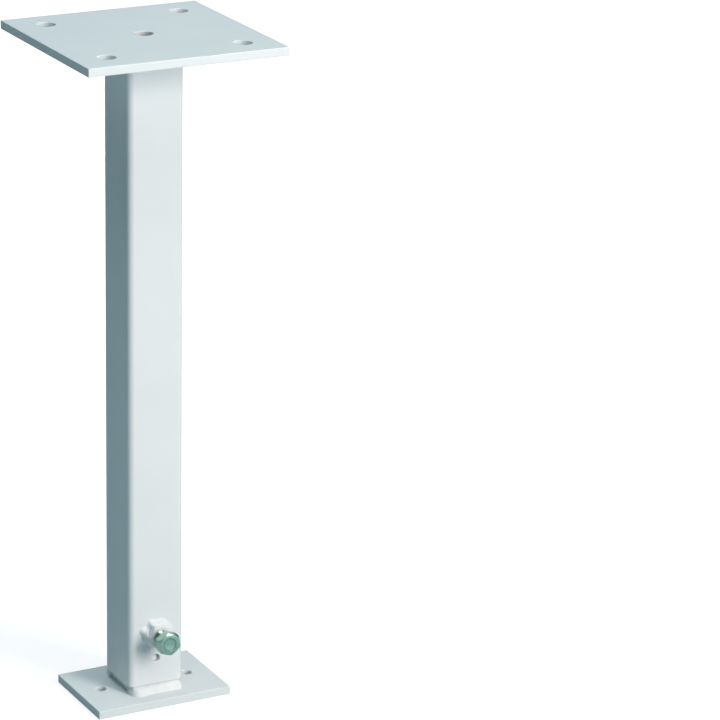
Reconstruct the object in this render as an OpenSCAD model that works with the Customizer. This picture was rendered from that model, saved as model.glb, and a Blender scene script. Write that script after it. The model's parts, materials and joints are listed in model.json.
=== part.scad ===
// Height-adjustable pedestal for a raised floor.
// A square outer tube, welded under a drilled top plate, slides over an inner
// tube that is welded to a drilled base plate.  A hexagon screw, held in a nut
// welded to the outer tube, clamps the inner tube at the chosen height.
// Frame: floor at z = 0, tubes upright on x = y = 0, clamp screw facing -y.

/* [Overall] */
// Height with the post fully lowered, from the floor to the top face
height = 400; // [300:5:600]

/* [Tubes] */
// Width of the square outer tube
outer_w = 35; // [32:1:38]
// Wall of the outer tube
outer_wall = 2; // [1.5:0.5:2.5]
// Outside corner radius of the outer tube
outer_r = 4; // [3:0.5:5]
// Wall of the inner tube
inner_wall = 2; // [1.5:0.5:2.5]
// Outside corner radius of the inner tube
inner_r = 4; // [3:0.5:5]
// Play between the two tubes on each side
slide_play = 0.5; // [0.3:0.1:0.8]
// Free height above the inner tube with the post lowered
head_room = 30; // [5:5:80]

/* [Top plate] */
// Side of the square top plate
top_w = 122; // [112:1:150]
// Thickness of the top plate
top_t = 5; // [4:0.5:8]
// Distance between neighbouring corner holes
top_pitch = 83; // [76:1:92]
// Diameter of the corner holes
top_hole_d = 11; // [7:0.5:13]
// Diameter of the hole over the tube
centre_hole_d = 11; // [7:0.5:18]

/* [Base plate] */
// Width of the base plate, left to right
base_w = 85; // [80:1:120]
// Depth of the base plate, front to back
base_d = 60; // [52:1:100]
// Thickness of the base plate
base_t = 5; // [4:0.5:8]
// Distance between the two floor holes
base_pitch = 56; // [54:1:64]
// Diameter of the floor holes
base_hole_d = 6.5; // [5:0.5:8]

/* [Plate finish] */
// Corner radius of both plates
plate_r = 0.5; // [0.25:0.25:3]

/* [Welds] */
// Height of the two foot beads, which the lowered outer tube rests on
foot_bead_h = 5; // [3:0.5:6]
// Width of a foot bead's level crest, from the inner tube's face
foot_bead_crest = 1.5; // [1:0.25:2]
// Length of a foot bead along the tube's face
foot_bead_l = 33; // [29:0.5:36]
// How far a foot bead's middle lies to the right of the tube's, from the front
foot_bead_shift = 1; // [-1.5:0.5:1.5]
// Radius of a foot bead's blunt ends
foot_bead_end_r = 2; // [1:0.25:2.5]
// Leg of the fillet under the top plate
top_bead = 4; // [3:0.5:6]
// Leg of the fillet around the nut
nut_bead = 2; // [1.5:0.1:2.5]
// Radius of the lumps where a run around the nut starts or stops
nut_lump_r = 1.8; // [1.2:0.1:2]

/* [Clamp] */
// Height of the screw's axis above the lower end of the outer tube
screw_up = 32; // [29:1:60]
// Diameter of the screw
screw_d = 8; // [6:1:10]
// Length of the screw under its head
screw_len = 16; // [14:1:30]
// Width of the screw head across its flats
head_af = 13; // [12:0.5:17]
// Height of the screw head
head_h = 5.3; // [4:0.1:7]
// Turn of the screw head, as it was last tightened
head_turn = 38.5; // [0:0.5:60]
// Diameter of the pressed dish in the screw head
dish_d = 8; // [5:0.2:9]
// Depth of that dish
dish_h = 0.6; // [0.2:0.1:1]
// Width of the welded nut across its flats
nut_af = 13; // [12.5:0.5:17]
// Height of the welded nut
nut_h = 6.5; // [5:0.5:8]
// Turn of the welded nut
nut_turn = 0; // [0:1:60]
// Height of the small side hole above the lower end of the outer tube
side_hole_up = 16.5; // [8:0.5:20]
// Diameter of the small side hole
side_hole_d = 4.5; // [2:0.5:6]

/* [Clearances] */
// Gap between the lowered outer tube and the foot beads
rest_gap = 0.1; // [0.05:0.05:0.5]
// Gap between the screw's tip and the inner tube
tip_gap = 0.1; // [0.05:0.05:0.4]
// Radial running clearance of the screw in its nut
thread_play = 0.05; // [0.02:0.01:0.1]
// Radial clearance of the screw in the wall of the outer tube
wall_play = 0.5; // [0.3:0.1:1]

/* [Hidden] */
$fn = 64;

inner_w = outer_w - 2 * (outer_wall + slide_play);
inner_face = inner_w / 2;
outer_face = outer_w / 2;
inner_z = base_t;
outer_z = base_t + foot_bead_h + rest_gap;
plate_z = height - top_t;
inner_top = plate_z - head_room;
screw_z = outer_z + screw_up;
side_hole_z = outer_z + side_hole_up;
nut_bore = screw_d / 2 + thread_play;
tip_y = inner_face + tip_gap;
head_y = tip_y + screw_len;

// Turned corners: slope of a hexagon's chamfer, and how far the circle it
// leaves on the face lies inside the flats
chamfer_slope = 30;
head_inset = 0.4;
nut_inset = 0.15;
// Raised bearing face under the screw head, inside the flats by this much
washer_inset = 0.7;
washer_h = 0.3;
// Chamfer on the screw's tip and countersink of the nut's bore
tip_chamfer = 1;
nut_sink = 0.4;
// Where the runs around the nut start and stop
lump_turns = [38, 158, 202];
// How full a fillet's face is: its arc's centre lies this share of a leg
// behind both of its sides
fillet_back = 0.5;
// How far a foot bead reaches back round the inner tube's corners
foot_bead_wrap = 2;
// Depth that a cutting tool runs past the face it cuts
past = 1;

// Square with round corners, as a 2-D section
module rounded_square(w, d, r) {
    square([w - 2 * r, d], center = true);
    square([w, d - 2 * r], center = true);
    for (sx = [-1, 1], sy = [-1, 1])
        translate([sx * (w / 2 - r), sy * (d / 2 - r)])
            circle(r);
}

// Square tube standing on z = 0
module square_tube(w, wall, r, l) {
    difference() {
        linear_extrude(l)
            rounded_square(w, w, r);
        translate([0, 0, -past])
            linear_extrude(l + 2 * past)
                rounded_square(w - 2 * wall, w - 2 * wall, r - wall);
    }
}

// Flat plate with round corners, standing on z = 0
module plate(w, d, t) {
    linear_extrude(t)
        rounded_square(w, d, plate_r);
}

// Hole up through a plate of thickness t
module plate_hole(d, t) {
    translate([0, 0, -past])
        cylinder(d = d, h = t + 2 * past);
}

// Quarter disc in the upper right quadrant
module quarter_disc(r) {
    intersection() {
        circle(r);
        square(r);
    }
}

// Section of a slightly full fillet weld, with its legs along x and y
module fillet(leg) {
    back = leg * fillet_back;
    intersection() {
        square(leg);
        translate([-back, -back])
            circle(norm([leg + back, back]));
    }
}

// Sweeps a section around a square of width w with corners of radius r;
// the section's x is measured outwards from that square's edge
module sweep_around(w, r) {
    straight = w - 2 * r;
    for (a = [0 : 90 : 270])
        rotate(a) {
            translate([w / 2, straight / 2, 0])
                rotate([90, 0, 0])
                    linear_extrude(straight)
                        children();
            translate([straight / 2, straight / 2, 0])
                rotate_extrude(angle = 90)
                    translate([r, 0])
                        children();
        }
}

// Puts its children on the screw's axis; their z runs out of the front face
module on_screw_axis() {
    translate([0, 0, screw_z])
        rotate([90, 0, 0])
            children();
}

// Hexagon prism on z = 0 with the corners of its far end turned off
module chamfered_hex(af, h, turn, inset) {
    flat_r = af / 2 - inset;
    intersection() {
        rotate(turn)
            cylinder(d = af / cos(30), h = h, $fn = 6);
        cylinder(r1 = flat_r + h / tan(chamfer_slope), r2 = flat_r, h = h);
    }
}

module base_plate() {
    color("gainsboro")
        difference() {
            plate(base_w, base_d, base_t);
            for (s = [-1, 1])
                translate([s * base_pitch / 2, 0, 0])
                    plate_hole(base_hole_d, base_t);
        }
}

// Bead along the front of the foot: level on top where the outer tube rests,
// a full quarter round down to its toe, and blunt at both ends.  It is what
// its outlines from above, from the side and from the front have in common.
module foot_bead() {
    crest_edge = inner_face + foot_bead_crest;
    toe = crest_edge + foot_bead_h;
    back = inner_face - foot_bead_wrap;
    color("white")
        translate([0, 0, base_t])
            difference() {
                translate([foot_bead_shift, 0, 0])
                    intersection() {
                        translate([0, -(toe + back) / 2, 0])
                            linear_extrude(foot_bead_h)
                                rounded_square(foot_bead_l, toe - back, foot_bead_end_r);
                        rotate([90, 0, -90])
                            linear_extrude(foot_bead_l + past, center = true) {
                                square([crest_edge, foot_bead_h]);
                                translate([crest_edge, 0])
                                    quarter_disc(foot_bead_h);
                            }
                        rotate([90, 0, 0])
                            linear_extrude(toe + past)
                                rounded_square(foot_bead_l, 2 * foot_bead_h, foot_bead_end_r);
                    }
                translate([0, 0, -past])
                    linear_extrude(foot_bead_h + 2 * past)
                        rounded_square(inner_w, inner_w, inner_r);
            }
}

module foot_weld_front() {
    foot_bead();
}

module foot_weld_back() {
    mirror([0, 1, 0])
        foot_bead();
}

module inner_tube() {
    color("gainsboro")
        translate([0, 0, inner_z])
            square_tube(inner_w, inner_wall, inner_r, inner_top - inner_z);
}

module outer_tube() {
    color("whitesmoke")
        difference() {
            translate([0, 0, outer_z])
                square_tube(outer_w, outer_wall, outer_r, plate_z - outer_z);
            on_screw_axis()
                cylinder(r = screw_d / 2 + wall_play, h = outer_face + past);
            translate([0, 0, side_hole_z])
                rotate([90, 0, 0])
                    cylinder(d = side_hole_d, h = outer_face + past);
        }
}

module top_plate() {
    color("gainsboro")
        translate([0, 0, plate_z])
            difference() {
                plate(top_w, top_w, top_t);
                for (sx = [-1, 1], sy = [-1, 1])
                    translate([sx * top_pitch / 2, sy * top_pitch / 2, 0])
                        plate_hole(top_hole_d, top_t);
                plate_hole(centre_hole_d, top_t);
            }
}

module top_weld() {
    color("white")
        translate([0, 0, plate_z])
            mirror([0, 0, 1])
                sweep_around(outer_w, outer_r)
                    fillet(top_bead);
}

module weld_nut() {
    color("whitesmoke")
        on_screw_axis()
            translate([0, 0, outer_face])
                difference() {
                    chamfered_hex(nut_af, nut_h, nut_turn, nut_inset);
                    translate([0, 0, -past])
                        cylinder(r = nut_bore, h = nut_h + 2 * past);
                    translate([0, 0, nut_h - nut_sink])
                        cylinder(r1 = nut_bore, r2 = nut_bore + nut_sink, h = nut_sink);
                }
}

module nut_weld() {
    flat_r = nut_af / 2;
    color("white")
        on_screw_axis()
            translate([0, 0, outer_face])
                difference() {
                    union() {
                        cylinder(r1 = flat_r + nut_bead, r2 = flat_r, h = nut_bead);
                        for (turn = lump_turns)
                            rotate(turn)
                                translate([flat_r + nut_bead, 0, 0])
                                    rotate_extrude()
                                        quarter_disc(nut_lump_r);
                    }
                    rotate(nut_turn)
                        translate([0, 0, -past])
                            cylinder(d = nut_af / cos(30), h = nut_bead + 2 * past, $fn = 6);
                }
}

module clamp_screw() {
    washer_r = head_af / 2 - washer_inset;
    color("darkseagreen")
        on_screw_axis() {
            translate([0, 0, head_y]) {
                difference() {
                    translate([0, 0, washer_h])
                        chamfered_hex(head_af, head_h - washer_h, head_turn, head_inset);
                    translate([0, 0, head_h - dish_h])
                        cylinder(d1 = dish_d - 2 * dish_h, d2 = dish_d, h = dish_h);
                }
                cylinder(r = washer_r, h = washer_h);
            }
            translate([0, 0, tip_y + tip_chamfer])
                cylinder(d = screw_d, h = screw_len - tip_chamfer);
            translate([0, 0, tip_y])
                cylinder(d1 = screw_d - 2 * tip_chamfer, d2 = screw_d, h = tip_chamfer);
        }
}

base_plate();
foot_weld_front();
foot_weld_back();
inner_tube();
outer_tube();
top_plate();
top_weld();
weld_nut();
nut_weld();
clamp_screw();
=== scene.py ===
import json
from math import atan2, cos, hypot, pi, radians, sin, tan, tau

import bmesh
import bpy
from mathutils import Matrix, Vector, noise


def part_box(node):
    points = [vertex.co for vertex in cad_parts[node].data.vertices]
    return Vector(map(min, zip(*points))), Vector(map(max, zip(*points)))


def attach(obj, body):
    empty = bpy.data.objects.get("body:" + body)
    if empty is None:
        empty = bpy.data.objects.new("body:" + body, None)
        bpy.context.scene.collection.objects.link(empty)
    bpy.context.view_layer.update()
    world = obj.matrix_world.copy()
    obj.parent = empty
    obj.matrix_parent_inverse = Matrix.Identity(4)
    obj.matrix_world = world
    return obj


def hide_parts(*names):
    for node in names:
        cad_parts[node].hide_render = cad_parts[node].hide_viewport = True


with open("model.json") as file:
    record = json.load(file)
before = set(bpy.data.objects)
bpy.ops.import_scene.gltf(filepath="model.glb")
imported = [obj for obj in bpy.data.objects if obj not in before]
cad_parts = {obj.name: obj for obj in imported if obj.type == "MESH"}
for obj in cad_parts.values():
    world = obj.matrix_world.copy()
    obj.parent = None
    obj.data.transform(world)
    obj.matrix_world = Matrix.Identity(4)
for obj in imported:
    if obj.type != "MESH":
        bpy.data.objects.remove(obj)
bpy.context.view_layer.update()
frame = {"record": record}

MM = 0.001

# ---- sizes ------------------------------------------------------------------

# Boxes of the CAD nodes, and the mounts, give every place and most sizes.
BASE_LOW, BASE_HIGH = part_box("base_plate")
TOP_LOW, TOP_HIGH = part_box("top_plate")
INNER_LOW, INNER_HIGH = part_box("inner_tube")
OUTER_LOW, OUTER_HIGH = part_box("outer_tube")
HEAD_LOW, HEAD_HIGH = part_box("top_weld")
NUT_LOW, NUT_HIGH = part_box("weld_nut")
SCREW_LOW, SCREW_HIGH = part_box("clamp_screw")
MOUNTS = {mount["name"]: mount for mount in frame["record"]["mounts"]}

# What a box can't give, as in the part's source.
TUBE_WALL = 2 * MM
TUBE_R = 4 * MM
PLATE_R = 0.5 * MM
FOOT_BEAD_CREST = 1.5 * MM
SCREW_R = 4 * MM
SCREW_PITCH = 1.25 * MM
SCREW_HOLE_R = 4.5 * MM
SIDE_HOLE_R = 2.25 * MM
SIDE_HOLE_UP = 16.5 * MM
HEAD_AF = 13 * MM
HEAD_H = 5.3 * MM
HEAD_TURN = 38.5
NUT_AF = 13 * MM
NUT_BORE_R = 4.05 * MM
NUT_BEAD = 2 * MM

# Roundness that the coating gives a sheared, a sawn and a drilled edge.
PLATE_EDGE = 0.35 * MM
TUBE_EDGE = 0.3 * MM
HOLE_EDGE = 0.3 * MM

SCREW_Z = (NUT_LOW[2] + NUT_HIGH[2]) / 2


# ---- mesh helpers -----------------------------------------------------------

def square_loop(w, d, r, arc=8, side=1):
    """Points round a w by d rectangle with corners of radius r, counter-clockwise, the same number for any size."""
    corners = []
    for turn, (sx, sy) in enumerate(((1, -1), (1, 1), (-1, 1), (-1, -1))):
        centre = Vector((sx * (w / 2 - r), sy * (d / 2 - r)))
        angles = [radians(90 * (turn - 1 + step / arc)) for step in range(arc + 1)]
        corners.append([centre + r * Vector((cos(a), sin(a))) for a in angles])
    points = []
    for corner, following in zip(corners, corners[1:] + corners[:1]):
        points += corner
        points += [corner[-1].lerp(following[0], step / side) for step in range(1, side)]
    return points


def circle_loop(r, centre=(0, 0), steps=64):
    """Points round a circle, counter-clockwise."""
    angles = [tau * step / steps for step in range(steps)]
    return [Vector((centre[0] + r * cos(a), centre[1] + r * sin(a))) for a in angles]


def at_height(loop, z):
    return [Vector((p[0], p[1], z)) for p in loop]


def skin(bm, rings, close=False):
    """Faces between rings that have the same number of points. Returns the rings' vertices."""
    rows = [[bm.verts.new(p) for p in ring] for ring in rings]
    pairs = list(zip(rows, rows[1:] + (rows[:1] if close else [])))
    for low, high in pairs:
        for i in range(len(low)):
            j = (i + 1) % len(low)
            bm.faces.new((low[i], low[j], high[j], high[i]))
    return rows


def edge_steps(edge, steps=4):
    """(inset, rise) pairs of a quarter round, from a flat face out to the wall beside it."""
    angles = [pi / 2 * step / steps for step in range(steps + 1)]
    return [(edge * (1 - sin(a)), edge * (1 - cos(a))) for a in angles]


def piece(name, bm, material, node, smooth_angle=32):
    """Turns a bmesh into the piece that stands for a CAD node and rides on the node's body."""
    bmesh.ops.remove_doubles(bm, verts=bm.verts, dist=1e-7)
    bmesh.ops.recalc_face_normals(bm, faces=bm.faces)
    mesh = bpy.data.meshes.new(name)
    bm.to_mesh(mesh)
    bm.free()
    mesh.polygons.foreach_set("use_smooth", [True] * len(mesh.polygons))
    mesh.set_sharp_from_angle(angle=radians(smooth_angle))
    mesh.materials.append(material)
    obj = bpy.data.objects.new(name, mesh)
    bpy.context.collection.objects.link(obj)
    weighted = obj.modifiers.new("flat_faces_stay_flat", "WEIGHTED_NORMAL")
    weighted.keep_sharp = True
    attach(obj, body_of_node(node))
    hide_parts(node)
    return obj


def body_of_node(node):
    bodies = frame["record"]["behaviour"]["bodies"]
    return next(body for body, nodes in bodies.items() if node in nodes)


def cut(obj, cutter_bm):
    """Cuts the shape in cutter_bm out of obj."""
    bmesh.ops.recalc_face_normals(cutter_bm, faces=cutter_bm.faces)
    mesh = bpy.data.meshes.new("cutter")
    cutter_bm.to_mesh(mesh)
    cutter_bm.free()
    cutter = bpy.data.objects.new("cutter", mesh)
    bpy.context.collection.objects.link(cutter)
    modifier = obj.modifiers.new("hole", "BOOLEAN")
    modifier.object = cutter
    modifier.solver = "EXACT"
    obj.modifiers.move(len(obj.modifiers) - 1, 0)
    bpy.context.view_layer.objects.active = obj
    bpy.ops.object.modifier_apply(modifier=modifier.name)
    bpy.data.objects.remove(cutter)
    obj.data.set_sharp_from_angle(angle=radians(32))


def to_screw_axis(depth):
    """Maps a shape built along +Z from z = 0 to the clamp screw's axis, pointing out of the front, from y = -depth."""
    return Matrix.Translation((0, -depth, SCREW_Z)) @ Matrix.Rotation(pi / 2, 4, "X")


# ---- plates and tubes -------------------------------------------------------

def plate(name, material, node, corner_r, hole_r, centres):
    """A flat plate with drilled holes, its edges rounded by the coating."""
    low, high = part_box(node)
    w = high[0] - low[0]
    d = high[1] - low[1]
    profile = [(inset, low[2] + rise) for inset, rise in edge_steps(PLATE_EDGE)]
    profile += [(inset, high[2] - rise) for inset, rise in reversed(edge_steps(PLATE_EDGE))]
    bm = bmesh.new()
    ends = ([], [])
    for shape in [None] + centres:
        rings = []
        for inset, z in profile:
            if shape is None:
                loop = square_loop(w - 2 * inset, d - 2 * inset, corner_r - inset)
            else:
                loop = circle_loop(hole_r + inset, shape, steps=48)
            rings.append(at_height(loop, z))
        rows = skin(bm, rings)
        ends[0].append(rows[0])
        ends[1].append(rows[-1])
    for loops in ends:
        edges = [bm.edges.get((loop[i], loop[i - 1])) for loop in loops for i in range(len(loop))]
        bmesh.ops.triangle_fill(bm, edges=edges, use_beauty=True)
    return piece(name, bm, material, node)


def hole_centres(mount):
    """Centres of a bolt pattern's holes: a rectangle, or a line where one spacing is left out."""
    dims = MOUNTS[mount]["dims"]
    half_x = dims.get("spacing_x_mm", 0) / 2 * MM
    half_y = dims.get("spacing_y_mm", 0) / 2 * MM
    return sorted({(sx * half_x, sy * half_y) for sx in (-1, 1) for sy in (-1, 1)})


def tube(name, material, node):
    """A square tube with round corners and softened sawn ends."""
    low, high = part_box(node)
    w = high[0] - low[0]
    inner_w = w - 2 * TUBE_WALL
    inner_r = TUBE_R - TUBE_WALL
    soften = edge_steps(TUBE_EDGE)
    rings = []
    for inset, rise in soften:
        rings.append(at_height(square_loop(w - 2 * inset, w - 2 * inset, TUBE_R - inset), low[2] + rise))
    for inset, rise in reversed(soften):
        rings.append(at_height(square_loop(w - 2 * inset, w - 2 * inset, TUBE_R - inset), high[2] - rise))
    for inset, rise in soften:
        rings.append(at_height(square_loop(inner_w + 2 * inset, inner_w + 2 * inset, inner_r + inset), high[2] - rise))
    for inset, rise in reversed(soften):
        rings.append(at_height(square_loop(inner_w + 2 * inset, inner_w + 2 * inset, inner_r + inset), low[2] + rise))
    bm = bmesh.new()
    skin(bm, rings, close=True)
    return piece(name, bm, material, node)


def wall_hole(r, z):
    """Cutter for a drilled hole with a softened rim in the outer tube's front wall."""
    face = -OUTER_LOW[1]
    past = 1 * MM
    rings = [(r, face - TUBE_WALL - past)]
    rings += [(r + inset, face - rise) for inset, rise in reversed(edge_steps(HOLE_EDGE))]
    rings.append((r + HOLE_EDGE, face + past))
    bm = bmesh.new()
    rows = skin(bm, [at_height(circle_loop(radius, steps=48), out) for radius, out in rings])
    bm.faces.new(rows[0])
    bm.faces.new(rows[-1])
    bmesh.ops.transform(bm, matrix=Matrix.Translation((0, 0, z)) @ Matrix.Rotation(pi / 2, 4, "X"), verts=bm.verts)
    return bm


# ---- weld beads -------------------------------------------------------------

def ripple(along, across, pitch, seed):
    """How deep a bead's surface lies under its full form, 0 to 1: arched ripples of uneven pitch and depth."""
    wander = noise.noise(Vector((along / pitch / 3, seed, 0)))
    phase = along / pitch + 0.45 * wander - 0.5 * across * across
    depth = abs(sin(pi * phase)) ** 0.8
    return (1 - depth) * (0.7 + 0.3 * noise.noise(Vector((along / pitch, across, seed))))


def bead_piece(name, material, node, rings, depth, pitch, seed):
    """A bead from rings of (point, outward normal), rippled along its length."""
    bm = bmesh.new()
    rows = []
    for k, ring in enumerate(rings):
        across = k / (len(rings) - 1)
        along = 0
        row = []
        for i, (p, normal) in enumerate(ring):
            if i:
                along += (p - ring[i - 1][0]).length
            fade = sin(pi * min(1, max(0, across * 1.1)))
            row.append(p - normal * depth * fade * ripple(along, 2 * across - 1, pitch, seed))
        rows.append(row)
    skin(bm, rows)
    return piece(name, bm, material, node, smooth_angle=60)


def foot_bead(name, material, node, side, seed):
    """A bead along one face of the foot: a level crest, a full, steep front and round ends, soft under the coat.

    side is -1 for the front and 1 for the back."""
    low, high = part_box(node)
    left = low[0] - 1.3 * MM
    length = high[0] - 0.6 * MM - left
    h = high[2] - low[2]
    crest = INNER_HIGH[0] + FOOT_BEAD_CREST
    back = INNER_HIGH[0] - 2 * MM
    stations = 120
    turns = 18
    fullness = 0.6
    bm = bmesh.new()
    rows = []
    for k in range(stations + 1):
        # Stations crowd towards the ends, where the outline turns.
        along = length / 2 * (1 - cos(pi * k / stations))
        plan = (1 - max(0, 1 - min(along / (4.2 * MM), (length - along) / (4 * MM))) ** 2) ** 0.5
        brink = (1 - max(0, 1 - min(along / (2.8 * MM), (length - along) / (4 * MM))) ** 2) ** 0.5
        x = left + along
        lump = 0.9 * MM * 2.718 ** (-((along - 6.5 * MM) / (3.4 * MM)) ** 2)
        pit = 2.718 ** (-((along - 9.3 * MM) / (0.8 * MM)) ** 2)
        wave = noise.noise(Vector((along / (5 * MM), seed, 0)))
        row = [Vector((x, side * back, low[2])), Vector((x, side * back, low[2] + h * brink))]
        for turn in range(turns + 1):
            a = pi / 2 * (1 - turn / turns)
            across = 1 - 2 * turn / turns
            bulge = sin(2 * a) if 0 < turn < turns else 0
            reach = (h * 0.74 + 0.35 * MM * wave + lump) * (max(0, cos(a)) ** fullness)
            flare = 0.5 * MM * max(0, 1 - a / radians(20)) ** 2
            sunk = (0.16 * MM * ripple(along, across, 2.6 * MM, seed) + 0.35 * MM * pit * bulge) * bulge
            out = crest + (reach + flare) * plan - sunk * cos(a) - (1 - plan) * FOOT_BEAD_CREST
            row.append(Vector((x, side * out, low[2] + (h - sunk) * sin(a) ** fullness * brink)))
        rows.append(row)
    rings = skin(bm, rows)
    bm.faces.new(rings[0])
    bm.faces.new(rings[-1])
    return piece(name, bm, material, node, smooth_angle=60)


def head_bead(material):
    """The fillet under the top plate, around the outer tube."""
    w = OUTER_HIGH[0] - OUTER_LOW[0]
    leg = HEAD_HIGH[2] - HEAD_LOW[2]
    back = leg / 2
    radius = hypot(leg + back, back)
    start = atan2(back, leg + back)
    rings = []
    steps = 12
    for step in range(steps + 1):
        a = start + (pi / 2 - 2 * start) * step / steps
        out_by = radius * cos(a) - back
        down_by = radius * sin(a) - back
        loop = square_loop(w + 2 * out_by, w + 2 * out_by, TUBE_R + out_by, arc=24, side=48)
        gap = w / 2 - TUBE_R
        ring = []
        for p in loop:
            core = Vector((max(-gap, min(gap, p[0])), max(-gap, min(gap, p[1]))))
            out = (p - core).normalized()
            ring.append((Vector((p[0], p[1], HEAD_HIGH[2] - down_by)), Vector((out[0] * cos(a), out[1] * cos(a), -sin(a)))))
        rings.append(ring)
    return bead_piece("head_bead", material, "top_weld", rings, 0.2 * MM, 1.8 * MM, 11)


# ---- clamp ------------------------------------------------------------------

def hex_radius(angle, af, turn, soft):
    """Distance from the axis to a hexagon's side. A smaller soft rounds its corners more."""
    total = sum(max(0, cos(angle - radians(turn + 30 + 60 * k))) ** soft for k in range(6))
    return af / 2 / total ** (1 / soft)


def hex_rings(af, h, turn, face_r, soft, edge, steps=144):
    """Rings up a hexagon's sides from z = 0, over its turned corners and in to the circle face_r on its face."""
    slope = tan(radians(30))
    rings = [[], [], [], [], [], []]
    for step in range(steps):
        angle = tau * step / steps
        r = hex_radius(angle, af, turn, soft)
        drop = max(0, r - face_r) * slope
        ring_points = [
            (r, 0),
            (r, h - drop - edge),
            (r - 0.25 * edge, h - drop - 0.3 * edge),
            (r - edge, h - drop + (edge * slope if drop > 0 else 0)),
            (face_r + edge * 0.5, h - edge * 0.5 * slope),
            (face_r - edge * 0.5, h),
        ]
        for ring, (radius, z) in zip(rings, ring_points):
            radius = min(radius, r)
            ring.append(Vector((radius * cos(angle), radius * sin(angle), min(z, h))))
    return rings


def round_rings(profile, steps=144):
    return [at_height(circle_loop(r, steps=steps), z) for r, z in profile]


def weld_nut(material):
    """The hexagon nut on the front face, its edges softened by the coating."""
    h = NUT_HIGH[1] - NUT_LOW[1]
    rings = hex_rings(NUT_AF, h, 0, NUT_AF / 2 - 0.15 * MM, 30, 0.35 * MM)
    sink = 0.4 * MM
    rings += round_rings([
        (NUT_BORE_R + sink + 0.1 * MM, h),
        (NUT_BORE_R + sink * 0.8, h - 0.08 * MM),
        (NUT_BORE_R + 0.1 * sink, h - sink * 0.8),
        (NUT_BORE_R, h - sink - 0.1 * MM),
        (NUT_BORE_R, 0),
    ])
    bm = bmesh.new()
    skin(bm, rings, close=True)
    bmesh.ops.transform(bm, matrix=to_screw_axis(-OUTER_LOW[1]), verts=bm.verts)
    return piece("weld_nut_coated", bm, material, "weld_nut")


def fall(t):
    """A smooth fall from 1 at t = 0 to 0 at t = 1, level at both ends."""
    t = min(1, max(0, t))
    return (1 - t) ** 2 * (1 + 2 * t)


def nut_bead_height(angle, r):
    """How far the nut's bead stands off the front face, at an angle and a distance from the screw's axis."""
    # (angle, spread in degrees, extra reach in mm, extra height in mm) of its fuller stretches.
    swells = ((8, 26, 2.6, 0.2), (42, 22, 1.3, 0.9), (85, 36, 0.5, 1.8), (178, 15, 0.4, 2.6), (290, 25, 0.6, 0))
    reach = 1.9 * MM
    rise = 1.9 * MM
    for turn, spread, longer, higher in swells:
        share = 2.718 ** (-(((angle - radians(turn) + pi) % tau - pi) / radians(spread)) ** 2)
        reach += longer * MM * share
        rise += higher * MM * share
    side = hex_radius(angle, NUT_AF, 0, 30)
    uneven = noise.noise(Vector((260 * r * cos(angle), 260 * r * sin(angle), 5)))
    height = rise * fall((r - side) / reach) * (1 + 0.12 * uneven)
    # (angle, distance, radius, height in mm) of the drops where its runs start and stop.
    for turn, away, size, drop in ((162, 8.6, 3.1, 2), (115, 7.9, 2.8, 0.9), (203, 8.6, 2.6, 1.1)):
        gap = hypot(r * cos(angle) - away * MM * cos(radians(turn)), r * sin(angle) - away * MM * sin(radians(turn)))
        height += drop * MM * max(0, 1 - (gap / (size * MM)) ** 2) ** 1.6
    return height


def nut_bead(material):
    """The bead around the nut, soft under the coat, with drops where its runs start and stop."""
    steps = 240
    turns = 36
    rings = []
    for k in range(turns + 1):
        ring = []
        for step in range(steps):
            angle = tau * step / steps
            inner = hex_radius(angle, NUT_AF, 0, 30) - 0.3 * MM
            r = inner + (12.9 * MM - inner) * k / turns
            # It runs out just inside the wall, where nothing shows.
            height = nut_bead_height(angle, r)
            dent = 0.06 * MM * ripple(angle * 8 * MM, 2 * k / turns - 1, 1.9 * MM, 7) if height > 0.2 * MM else 0
            ring.append(Vector((r * cos(angle), r * sin(angle), height - dent - 0.04 * MM)))
        rings.append(ring)
    bm = bmesh.new()
    skin(bm, rings)
    bmesh.ops.transform(bm, matrix=to_screw_axis(-OUTER_LOW[1]), verts=bm.verts)
    return piece("nut_bead_coated", bm, material, "nut_weld", smooth_angle=80)


def thread_rings(start, end, steps=48):
    """Rings of a helical thread from z = start to end, wound as one strip whose rows follow the helix."""
    depth = 0.61 * SCREW_PITCH
    profile = ((0, 0), (0.07, 0), (0.45, 1), (0.55, 1), (0.93, 0))
    turns = int((end - start) / SCREW_PITCH) + 3
    rings = []
    for row in range(turns * len(profile)):
        turn, k = divmod(row, len(profile))
        share, crest = profile[k]
        ring = []
        for step in range(steps + 1):
            z = start + (turn - 2 + share + step / steps) * SCREW_PITCH
            z = min(max(z, start), end)
            tip = min(1, 0.75 + (z - start) / SCREW_R)
            r = (SCREW_R - 0.03 * MM - depth * (1 - crest)) if start < z < end else SCREW_R - depth
            r = min(r, SCREW_R * tip)
            angle = tau * step / steps
            ring.append(Vector((r * cos(angle), r * sin(angle), z)))
        rings.append(ring)
    return rings


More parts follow.
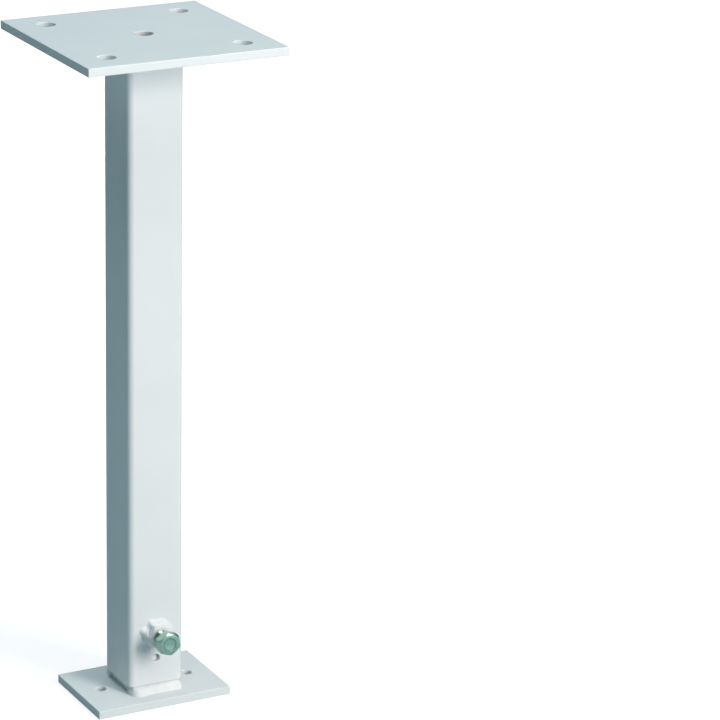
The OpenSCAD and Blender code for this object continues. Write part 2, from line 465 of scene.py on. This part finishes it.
def clamp_screw(material):
    """The zinc-plated hexagon screw: dished head, bearing face, thread and chamfered tip."""
    length = SCREW_HIGH[1] - SCREW_LOW[1] - HEAD_H
    face_r = HEAD_AF / 2 - 0.4 * MM
    washer_r = HEAD_AF / 2 - 0.7 * MM
    washer_h = 0.3 * MM
    dish_r = 4 * MM
    dish_h = 0.6 * MM
    bm = bmesh.new()
    head = hex_rings(HEAD_AF, HEAD_H - washer_h, HEAD_TURN, face_r, 80, 0.12 * MM)
    head = [[p + Vector((0, 0, washer_h)) for p in ring] for ring in head]
    dish = round_rings([
        (dish_r + 0.04 * MM, HEAD_H),
        (dish_r, HEAD_H - 0.06 * MM),
        (dish_r - 0.04 * MM, HEAD_H - 0.18 * MM),
        (dish_r - 0.3 * MM, HEAD_H - 0.22 * MM),
        (0.5 * MM, HEAD_H - dish_h + 0.2 * MM),
    ])
    under = round_rings([
        (SCREW_R - 0.5 * MM, 0),
        (washer_r - 0.08 * MM, 0),
        (washer_r, 0.08 * MM),
        (washer_r, washer_h),
    ])
    rows = skin(bm, under + head + dish)
    bm.faces.new(rows[-1])
    shank = thread_rings(-length, 0)
    steps = len(shank[0]) - 1
    strip = [[bm.verts.new(p) for p in ring] for ring in shank]
    for low, high in zip(strip, strip[1:]):
        for i in range(steps):
            bm.faces.new((low[i], low[i + 1], high[i + 1], high[i]))
    bmesh.ops.remove_doubles(bm, verts=bm.verts, dist=1e-6)
    bmesh.ops.transform(bm, matrix=to_screw_axis(-SCREW_LOW[1] - HEAD_H), verts=bm.verts)
    return piece("clamp_screw_zinc", bm, material, "clamp_screw", smooth_angle=28)


# ---- materials --------------------------------------------------------------

def new_material(name):
    material = bpy.data.materials.new(name)
    material.use_nodes = True
    nodes = material.node_tree.nodes
    return material, nodes, material.node_tree.links, nodes["Principled BSDF"]


def add(nodes, kind, **inputs):
    """Adds a node and sets its inputs by name, with underscores for spaces."""
    node = nodes.new(kind)
    for key, value in inputs.items():
        node.inputs[key.replace("_", " ")].default_value = value
    return node


def powder_coat():
    """Satin white powder coating: a fine orange peel, and a slight drift in tone and gloss."""
    material, nodes, links, shader = new_material("powder_coat")
    shader.inputs["IOR"].default_value = 1.5
    shader.inputs["Specular IOR Level"].default_value = 0.3
    place = nodes.new("ShaderNodeTexCoord").outputs["Object"]
    drift = add(nodes, "ShaderNodeTexNoise", Scale=22, Detail=3, Roughness=0.5)
    peel = add(nodes, "ShaderNodeTexNoise", Scale=750, Detail=2, Roughness=0.4)
    grain = add(nodes, "ShaderNodeTexNoise", Scale=2600, Detail=2, Roughness=0.5)
    for texture in (drift, peel, grain):
        links.new(place, texture.inputs["Vector"])
    tone = nodes.new("ShaderNodeValToRGB")
    tone.color_ramp.elements[0].position = 0.3
    tone.color_ramp.elements[0].color = (0.785, 0.795, 0.795, 1)
    tone.color_ramp.elements[1].position = 0.7
    tone.color_ramp.elements[1].color = (0.815, 0.82, 0.82, 1)
    links.new(drift.outputs["Fac"], tone.inputs["Fac"])
    links.new(tone.outputs["Color"], shader.inputs["Base Color"])
    gloss = add(nodes, "ShaderNodeMapRange", From_Min=0.3, From_Max=0.7, To_Min=0.36, To_Max=0.44)
    links.new(peel.outputs["Fac"], gloss.inputs["Value"])
    links.new(gloss.outputs["Result"], shader.inputs["Roughness"])
    fine = add(nodes, "ShaderNodeBump", Strength=0.25, Distance=0.00001)
    links.new(grain.outputs["Fac"], fine.inputs["Height"])
    coarse = add(nodes, "ShaderNodeBump", Strength=0.3, Distance=0.00004)
    links.new(peel.outputs["Fac"], coarse.inputs["Height"])
    links.new(fine.outputs["Normal"], coarse.inputs["Normal"])
    links.new(coarse.outputs["Normal"], shader.inputs["Normal"])
    return material


def zinc_plate():
    """Bright zinc with a faint green passivation, cloudy in tone and gloss, with drawing marks, and painted shade
    darkening the colour round the dish's rim and on the thread.
    """
    material, nodes, links, shader = new_material("zinc")
    shader.inputs["Metallic"].default_value = 1
    place = nodes.new("ShaderNodeTexCoord").outputs["Object"]
    cloud = add(nodes, "ShaderNodeTexNoise", Scale=420, Detail=4, Roughness=0.6)
    marks = add(nodes, "ShaderNodeTexNoise", Scale=1500, Detail=3, Roughness=0.6)
    for texture in (cloud, marks):
        links.new(place, texture.inputs["Vector"])
    tone = nodes.new("ShaderNodeValToRGB")
    tone.color_ramp.elements[0].position = 0.35
    tone.color_ramp.elements[0].color = (0.46, 0.68, 0.54, 1)
    tone.color_ramp.elements[1].position = 0.65
    tone.color_ramp.elements[1].color = (0.58, 0.78, 0.65, 1)
    links.new(cloud.outputs["Fac"], tone.inputs["Fac"])
    # Painted shade: the colour is darkened in a band about 3.75 mm from the screw's axis, round the dish's rim and on
    # the thread, in place of darker reflections there.
    radial = nodes.new("ShaderNodeVectorMath")
    radial.operation = "MULTIPLY_ADD"
    links.new(place, radial.inputs[0])
    radial.inputs[1].default_value = (1, 0, 1)
    radial.inputs[2].default_value = (0, 0, -SCREW_Z)
    reach = nodes.new("ShaderNodeVectorMath")
    reach.operation = "LENGTH"
    links.new(radial.outputs["Vector"], reach.inputs[0])
    off = nodes.new("ShaderNodeMath")
    off.operation = "SUBTRACT"
    links.new(reach.outputs["Value"], off.inputs[0])
    off.inputs[1].default_value = 3.75 * MM
    size = nodes.new("ShaderNodeMath")
    size.operation = "ABSOLUTE"
    links.new(off.outputs[0], size.inputs[0])
    # Painted shade: the colour falls to 0.68 in the middle of the band and returns to full 0.7 mm away from it.
    painted_shade = add(nodes, "ShaderNodeMapRange", From_Min=0.2 * MM, From_Max=0.7 * MM, To_Min=0.68, To_Max=1.0)
    links.new(size.outputs[0], painted_shade.inputs["Value"])
    painted_shade_tone = nodes.new("ShaderNodeVectorMath")
    painted_shade_tone.operation = "SCALE"
    links.new(tone.outputs["Color"], painted_shade_tone.inputs[0])
    links.new(painted_shade.outputs["Result"], painted_shade_tone.inputs["Scale"])
    links.new(painted_shade_tone.outputs["Vector"], shader.inputs["Base Color"])
    gloss = add(nodes, "ShaderNodeMapRange", From_Min=0.3, From_Max=0.7, To_Min=0.28, To_Max=0.4)
    links.new(marks.outputs["Fac"], gloss.inputs["Value"])
    links.new(gloss.outputs["Result"], shader.inputs["Roughness"])
    bump = add(nodes, "ShaderNodeBump", Strength=0.2, Distance=0.00002)
    links.new(marks.outputs["Fac"], bump.inputs["Height"])
    links.new(bump.outputs["Normal"], shader.inputs["Normal"])
    return material


# ---- studio -----------------------------------------------------------------

def seen_directly(nodes):
    """1 for rays that show the backdrop itself, straight from the camera."""
    return nodes.new("ShaderNodeLightPath").outputs["Is Camera Ray"]


def studio_floor():
    """A pale floor that takes the object's shadow and passes into the white backdrop away from it."""
    mesh = bpy.data.meshes.new("floor")
    half = 8
    mesh.from_pydata([(-half, -half, 0), (half, -half, 0), (half, half, 0), (-half, half, 0)], [], [(0, 1, 2, 3)])
    floor = bpy.data.objects.new("floor", mesh)
    floor.location.z = BASE_LOW[2] - 0.02 * MM
    bpy.context.collection.objects.link(floor)
    material, nodes, links, shader = new_material("floor")
    output = nodes["Material Output"]
    nodes.remove(shader)
    matte = add(nodes, "ShaderNodeBsdfDiffuse", Color=(0.34, 0.44, 0.48, 1))
    glow = add(nodes, "ShaderNodeEmission", Color=(1.12, 1.04, 1.02, 1))
    place = nodes.new("ShaderNodeNewGeometry").outputs["Position"]
    reach = nodes.new("ShaderNodeVectorMath")
    reach.operation = "LENGTH"
    links.new(place, reach.inputs[0])
    lift = add(nodes, "ShaderNodeMapRange", From_Min=0.1, From_Max=0.9, To_Min=0.7, To_Max=1.0)
    links.new(reach.outputs["Value"], lift.inputs["Value"])
    shown = nodes.new("ShaderNodeMath")
    shown.operation = "MULTIPLY"
    links.new(lift.outputs["Result"], shown.inputs[0])
    links.new(seen_directly(nodes), shown.inputs[1])
    links.new(shown.outputs[0], glow.inputs["Strength"])
    both = nodes.new("ShaderNodeAddShader")
    links.new(matte.outputs["BSDF"], both.inputs[0])
    links.new(glow.outputs["Emission"], both.inputs[1])
    links.new(both.outputs["Shader"], output.inputs["Surface"])
    mesh.materials.append(material)


def studio_world():
    """A dim, cool room light, with a white backdrop where it is seen directly."""
    world = bpy.data.worlds.new("studio")
    bpy.context.scene.world = world
    world.use_nodes = True
    nodes = world.node_tree.nodes
    links = world.node_tree.links
    nodes.clear()
    room = add(nodes, "ShaderNodeBackground", Color=(0.1, 0.5, 1, 1), Strength=0.03)
    white = add(nodes, "ShaderNodeBackground", Color=(1, 1, 1, 1), Strength=1)
    mix = nodes.new("ShaderNodeMixShader")
    output = nodes.new("ShaderNodeOutputWorld")
    links.new(seen_directly(nodes), mix.inputs["Fac"])
    links.new(room.outputs["Background"], mix.inputs[1])
    links.new(white.outputs["Background"], mix.inputs[2])
    links.new(mix.outputs["Shader"], output.inputs["Surface"])


def softbox(name, centre, aim, size, power, colour=(1, 1, 1)):
    """A rectangular area lamp at centre, turned to face aim."""
    data = bpy.data.lights.new(name, "AREA")
    data.shape = "RECTANGLE"
    data.size, data.size_y = size
    data.energy = power
    data.color = colour
    lamp = bpy.data.objects.new(name, data)
    lamp.location = centre
    lamp.rotation_euler = (Vector(aim) - Vector(centre)).to_track_quat("-Z", "Y").to_euler()
    bpy.context.collection.objects.link(lamp)
    return lamp


def photo_camera():
    """The photograph's view: from the front left, a little above, through a long lens."""
    azimuth = radians(-28.474)
    elevation = radians(18.88)
    roll = radians(-1.137)
    distance = 2.0964
    aim_right = 0.12487
    aim_up = 0.20916
    back = Vector((sin(azimuth) * cos(elevation), -cos(azimuth) * cos(elevation), sin(elevation)))
    right = Vector((cos(azimuth), sin(azimuth), 0))
    up = back.cross(right)
    rolled_right = right * cos(roll) - up * sin(roll)
    rolled_up = up * cos(roll) + right * sin(roll)
    data = bpy.data.cameras.new("camera")
    data.lens = 181.6
    data.sensor_width = 36
    data.clip_end = 50
    camera = bpy.data.objects.new("camera", data)
    place = Matrix((rolled_right, rolled_up, back)).transposed().to_4x4()
    place.translation = right * aim_right + Vector((0, 0, aim_up)) + back * distance
    camera.matrix_world = place
    bpy.context.collection.objects.link(camera)
    bpy.context.scene.camera = camera


# ---- scene ------------------------------------------------------------------

photo_camera()
studio_world()
studio_floor()
softbox("key", (0.73, -1.64, 0.8), (0, 0, 0.25), (0.45, 1.1), 27.5, (1, 0.975, 0.95))
softbox("key_top", (0.67, -1.67, 1.4), (0, 0, 0.25), (1.3, 0.4), 2.5)
softbox("overhead", (0, 0, 2.2), (0, 0, 0.2), (1.9, 1.9), 21.5, (0.7, 0.83, 0.97))
softbox("top_back", (-0.2, 0.9, 1.7), (0, 0, 0.3), (1.2, 1.2), 3, (0.25, 1, 0.9))
softbox("top_front", (0.2, -0.6, 2.2), (0, 0, 0.2), (1.2, 1.2), 11, (1, 0.98, 0.85))
softbox("left", (-1.6, -0.9, 0.6), (0, 0, 0.28), (1, 1), 3.5, (0.68, 1, 1))
softbox("behind", (0.18, 1.3, 0.2), (0, 0, 0.2), (0.4, 0.36), 6)

coat = powder_coat()
zinc = zinc_plate()

plate("base_plate_coated", coat, "base_plate", PLATE_R, MOUNTS["base_bolts"]["dims"]["hole_r_mm"] * MM,
      hole_centres("base_bolts"))
plate("top_plate_coated", coat, "top_plate", PLATE_R, MOUNTS["top_bolts"]["dims"]["hole_r_mm"] * MM,
      hole_centres("top_bolts") + [(0, 0)])
tube("inner_tube_coated", coat, "inner_tube")
outer = tube("outer_tube_coated", coat, "outer_tube")
cut(outer, wall_hole(SCREW_HOLE_R, SCREW_Z))
cut(outer, wall_hole(SIDE_HOLE_R, OUTER_LOW[2] + SIDE_HOLE_UP))
foot_bead("foot_bead_front", coat, "foot_weld_front", -1, 3)
foot_bead("foot_bead_back", coat, "foot_weld_back", 1, 8)
head_bead(coat)
weld_nut(coat)
nut_bead(coat)
clamp_screw(zinc)

bpy.context.scene.view_settings.view_transform = "Standard"
